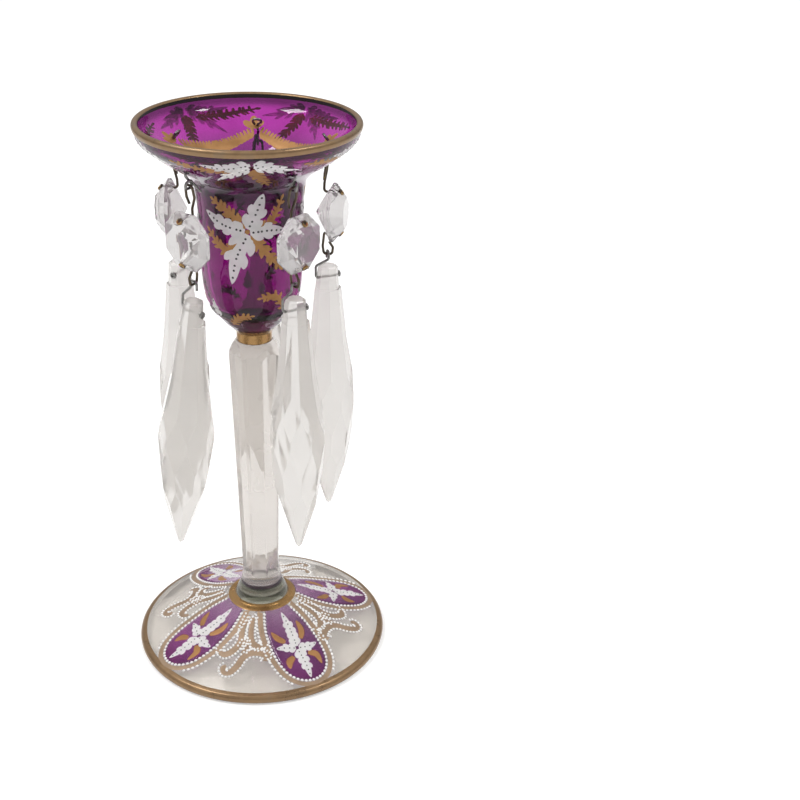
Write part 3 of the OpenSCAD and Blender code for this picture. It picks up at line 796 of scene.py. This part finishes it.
# The petals: their turns, half of their edge as (half width, radius), the film of stain, and the gold
# border and the two rows of dots by how far they lie outside the edge; dots are radius and height
PETALS = (24, 128, 221, 302)
PETAL_HALF = through([(4.9, 13.4), (6.6, 17), (8.4, 22), (9.3, 27), (9.6, 32), (9.2, 36.5), (8.1, 40),
                      (6.0, 42.6), (3.2, 44.2), (0.0, 44.8)], steps=5)
FILM_LOW, FILM_HIGH, FILM_PARTS, FILM_TIP = 0.02, 0.07, 6, 0.05
BORDER_OUT, BORDER_HALF = 1.75, 0.95
INNER_OUT, INNER_STEP, INNER_DOT = 0.2, 1.5, (0.57, 0.40)
OUTER_OUT, OUTER_STEP, OUTER_DOT = 3.3, 1.55, (0.55, 0.38)
DOTS_WITHIN = 45.2  # the radius where the gilded edge is near
PETAL_LEAVES = [((0.1, 29.8), (0.9, 15.2), 0.5, 2.8, 5, 8, FINE_DOT),
                ((-0.1, 31.2), (-0.9, 43.8), -0.5, 2.8, 4, 7, FINE_DOT),
                ((0.6, 30.7), (8.4, 31.6), 0.4, 2.4, 3, 4, FINE_DOT),
                ((-0.6, 30.5), (-7.8, 29.0), 0.4, 2.3, 3, 4, FINE_DOT)]
PETAL_GOLD = [[(3.2, 27.6), (5.2, 24.4), (5.0, 20.4)], [(-3.2, 27.0), (-5.4, 25.0), (-6.6, 22.0)],
              [(3.0, 33.8), (5.8, 35.8), (6.0, 40.2)], [(-3.0, 33.6), (-5.6, 35.4), (-6.6, 38.2)]]
PETAL_GOLD_HALF = 1.55
# The scrolls between neighbouring petals as spine and half width, and the dots beside them
SCROLLS = [([(-1.3, 15.2), (-2.5, 20.5), (-2.2, 26), (-4.0, 30.0), (-7.0, 32.4), (-9.4, 31.6),
             (-9.4, 29.8)], 1.15),
           ([(0.6, 16.0), (0.9, 21), (2.4, 25.6), (5.6, 27.6), (7.4, 26.2), (6.4, 24.6)], 1.1),
           ([(9.4, 33.4), (9.4, 31.4), (6.2, 30.0), (2.6, 30.4), (0.4, 32.6), (-0.7, 35.6), (-2.6, 38.6),
             (-5.0, 39.4), (-6.2, 37.9), (-5.0, 36.9)], 1.25),
           ([(-1.4, 28.2), (-0.2, 25.4), (1.0, 28.0), (-0.4, 30.4)], 0.9)]
BESIDE_OUT, BESIDE_STEP, BESIDE_DOT = 0.45, 1.35, (0.48, 0.34)
# Profiles of the gilding round the boss and over the foot's edge, and the radius where the latter ends
BOSS_RING = [(13.4, 17.25), (12.72, 17.5), (11.6, 17.6), (10.75, 17.8), (10.45, 18.6)]
FOOT_EDGE = [(48.4, 0.4), (48.76, 0.72), (49, 1.6), (48.76, 2.5), (48.04, 3.2)]
EDGE_TO = 45.6


def foot_way(r):
    """The way along the foot's profile at a radius."""
    for (r0, w0), (r1, w1) in zip(FOOT_WAYS, FOOT_WAYS[1:]):
        if r <= r1:
            return w0 + (w1 - w0) * (r - r0) / (r1 - r0)
    return FOOT_WAYS[-1][1]


def foot_sheet(turn, hand=1):
    """Puts a drawing (x sideways, y the radius) on the foot at a turn, mirrored where hand is -1."""
    def put(x, y, up):
        return FOOT.place(turn + math.degrees(hand * x / y), foot_way(y), up)
    return put


def petal_outline(out):
    """A petal's outline, moved outwards, from one side at the boss round its tip to the other."""
    line = [Vector((-p.x, p.y)) for p in PETAL_HALF]
    line += [Vector((p.x, p.y)) for p in reversed(PETAL_HALF[:-1])]
    return [p + left_of(line, i) * out for i, p in enumerate(line)]


def petal_film(name, put):
    """The amethyst stain of one petal, a thin closed film."""
    film = Paint()
    top, low = [], []
    for p in PETAL_HALF:
        w = max(p.x, FILM_TIP)
        places = [w * u / FILM_PARTS for u in range(-FILM_PARTS, FILM_PARTS + 1)]
        top.append([put(x, p.y, FILM_HIGH) for x in places])
        low.append([put(x, p.y, FILM_LOW) for x in places])
    film.grid(top)
    film.grid(low)
    for side in (0, -1):
        film.grid([[row[side] for row in top], [row[side] for row in low]])
    for end in (0, -1):
        film.grid([top[end], low[end]])
    film.finish(name, STAIN)


def paint_foot():
    """The petals, scrolls, raised dots and gilded bands of the foot."""
    gold, white, ink, edge, scrolls, beads, collar = (Paint() for _ in range(7))
    for number, turn in enumerate(PETALS, 1):
        put = foot_sheet(turn)
        petal_film(f"foot_petal_{number}", put)
        scrolls.stroke(put, petal_outline(BORDER_OUT)[2:-2:2], lambda _: BORDER_HALF, *SCROLL_UP, steps=60)
        for p in along(petal_outline(INNER_OUT), INNER_STEP)[1:-1]:
            beads.dot(put, p.x, p.y, *INNER_DOT)
        for p in along(petal_outline(OUTER_OUT), OUTER_STEP)[2:-2]:
            if p.y < DOTS_WITHIN:
                beads.dot(put, p.x, p.y, *OUTER_DOT)
        for leaf in PETAL_LEAVES:
            white_leaf(white, ink, put, *leaf)
        for spine in PETAL_GOLD:
            gold.stroke(put, spine, leaf_width(PETAL_GOLD_HALF), *PETAL_GOLD_UP, steps=14)
    for k, turn in enumerate(PETALS):
        gap = (PETALS[(k + 1) % len(PETALS)] - turn) % 360
        put = foot_sheet(turn + gap / 2, 1 if k % 2 == 0 else -1)
        for spine, w in SCROLLS:
            scrolls.stroke(put, spine, scroll_width(w), *SCROLL_UP, steps=48)
            line = through(spine, steps=8)
            for hand in (-1, 1):
                beside = [p + left_of(line, i) * hand * (w + BESIDE_OUT) for i, p in enumerate(line)]
                for p in along(beside, BESIDE_STEP):
                    beads.dot(put, p.x, p.y, *BESIDE_DOT)
    collar.band(Skin(BOSS_RING), steps=10)
    edge.band(Skin(FOOT_EDGE + [p for p in FOOT_TOP[1:] if p.x > EDGE_TO]), steps=20)

    collar.finish("boss_gilding", GOLD_BAND)
    gold.finish("foot_gold_leaves", GOLD_PAINT)
    white.finish("foot_white_leaves", WHITE)
    ink.finish("foot_leaf_dots", INK)
    edge.finish("foot_gilding", GILDING)
    scrolls.finish("foot_scrolls", PALE_GOLD)
    beads.finish("foot_dots", DOTS)


paint_foot()


# ---------------------------------------------------------------- floor, light and camera

FLOOR_SIZE, FLOOR_DOWN, FLOOR_GREY, FLOOR_ROUGH = 12, 0.0002, 0.80, 0.9
FLOOR_GLOW = 0.32  # brings the floor up to white where it is the background
ROOM_TO = 0.75  # how steep the direction is in which the room is brightest
ROOM = [(0.0, (0.25, 0.25, 0.255)), (0.3, (0.58, 0.58, 0.585)), (1.0, (0.82, 0.82, 0.82))]
LAMPS_AIM = (0, 0, 0.2)
# The camera that was fitted to the photograph: its place, its tilt below level and its roll, in radians
CAMERA_AT, CAMERA_DOWN, CAMERA_ROLL = (0.053786, -0.440352, 0.327993), 0.467749, 0.024669
SENSOR, LENS = 36, 59.379


def rays(tree, *kinds):
    """1 for these kinds of rays, and 0 for the others."""
    path = tree.nodes.new("ShaderNodeLightPath")
    seen = path.outputs[kinds[0]]
    for kind in kinds[1:]:
        either = tree.nodes.new("ShaderNodeMath")
        either.operation = "MAXIMUM"
        tree.links.new(seen, either.inputs[0])
        tree.links.new(path.outputs[kind], either.inputs[1])
        seen = either.outputs[0]
    return seen


def make_floor():
    """A white floor that shows the object's shadow."""
    bpy.ops.mesh.primitive_plane_add(size=FLOOR_SIZE, location=(0, 0, -FLOOR_DOWN))
    floor = bpy.context.object
    floor.name = "floor"
    mat, tree, shader, out = material("white floor")
    shader.inputs["Base Color"].default_value = (FLOOR_GREY, FLOOR_GREY, FLOOR_GREY, 1)
    shader.inputs["Roughness"].default_value = FLOOR_ROUGH
    shader.inputs["Specular IOR Level"].default_value = 0
    glow = tree.nodes.new("ShaderNodeEmission")
    lift = tree.nodes.new("ShaderNodeMath")
    lift.operation = "MULTIPLY"
    lift.inputs[1].default_value = FLOOR_GLOW
    tree.links.new(rays(tree, "Is Camera Ray", "Is Glossy Ray", "Is Transmission Ray"), lift.inputs[0])
    tree.links.new(lift.outputs[0], glow.inputs["Strength"])
    both = tree.nodes.new("ShaderNodeAddShader")
    tree.links.new(shader.outputs["BSDF"], both.inputs[0])
    tree.links.new(glow.outputs["Emission"], both.inputs[1])
    tree.links.new(both.outputs["Shader"], out.inputs["Surface"])
    floor.data.materials.append(mat)


def make_world():
    """White behind the object and through its glass, and a pale room for light and reflections."""
    world = bpy.data.worlds.new("studio")
    bpy.context.scene.world = world
    world.use_nodes = True
    tree = world.node_tree
    tree.nodes.clear()
    out = tree.nodes.new("ShaderNodeOutputWorld")
    room = tree.nodes.new("ShaderNodeBackground")
    plain = tree.nodes.new("ShaderNodeBackground")
    pick = tree.nodes.new("ShaderNodeMixShader")
    place = tree.nodes.new("ShaderNodeTexCoord")
    split = tree.nodes.new("ShaderNodeSeparateXYZ")
    tree.links.new(place.outputs["Generated"], split.inputs[0])
    up = tree.nodes.new("ShaderNodeMapRange")
    up.inputs["From Min"].default_value = 0.0
    up.inputs["From Max"].default_value = ROOM_TO
    tree.links.new(split.outputs["Z"], up.inputs["Value"])
    tree.links.new(ramp(tree, up.outputs["Result"], ROOM), room.inputs["Color"])
    plain.inputs["Color"].default_value = (1, 1, 1, 1)
    tree.links.new(rays(tree, "Is Camera Ray", "Is Transmission Ray"), pick.inputs["Fac"])
    tree.links.new(room.outputs["Background"], pick.inputs[1])
    tree.links.new(plain.outputs["Background"], pick.inputs[2])
    tree.links.new(pick.outputs["Shader"], out.inputs["Surface"])


def window(name, at, wide, high, watts):
    """A soft rectangular lamp at a place, turned to the object."""
    lamp = bpy.data.lights.new(name, "AREA")
    lamp.shape = "RECTANGLE"
    lamp.size, lamp.size_y = wide, high
    lamp.energy = watts
    obj = add(name, lamp)
    obj.location = at
    obj.rotation_euler = (Vector(LAMPS_AIM) - Vector(at)).to_track_quat("-Z", "Y").to_euler()


def make_camera():
    """The camera at the photograph's viewing angle."""
    camera = bpy.data.cameras.new("camera")
    camera.sensor_width = SENSOR
    camera.lens = LENS
    eye = add("camera", camera)
    eye.matrix_world = (Matrix.Translation(CAMERA_AT) @ Matrix.Rotation(math.pi / 2 - CAMERA_DOWN, 4, "X")
                        @ Matrix.Rotation(CAMERA_ROLL, 4, "Z"))
    bpy.context.scene.camera = eye


make_floor()
make_world()
window("window_right", at=(0.91, -0.12, 1.51), wide=0.25, high=0.30, watts=5.5)
window("window_left", at=(-0.835, -0.147, 1.557), wide=0.39, high=0.52, watts=11)
make_camera()
bpy.context.scene.view_settings.view_transform = "Standard"
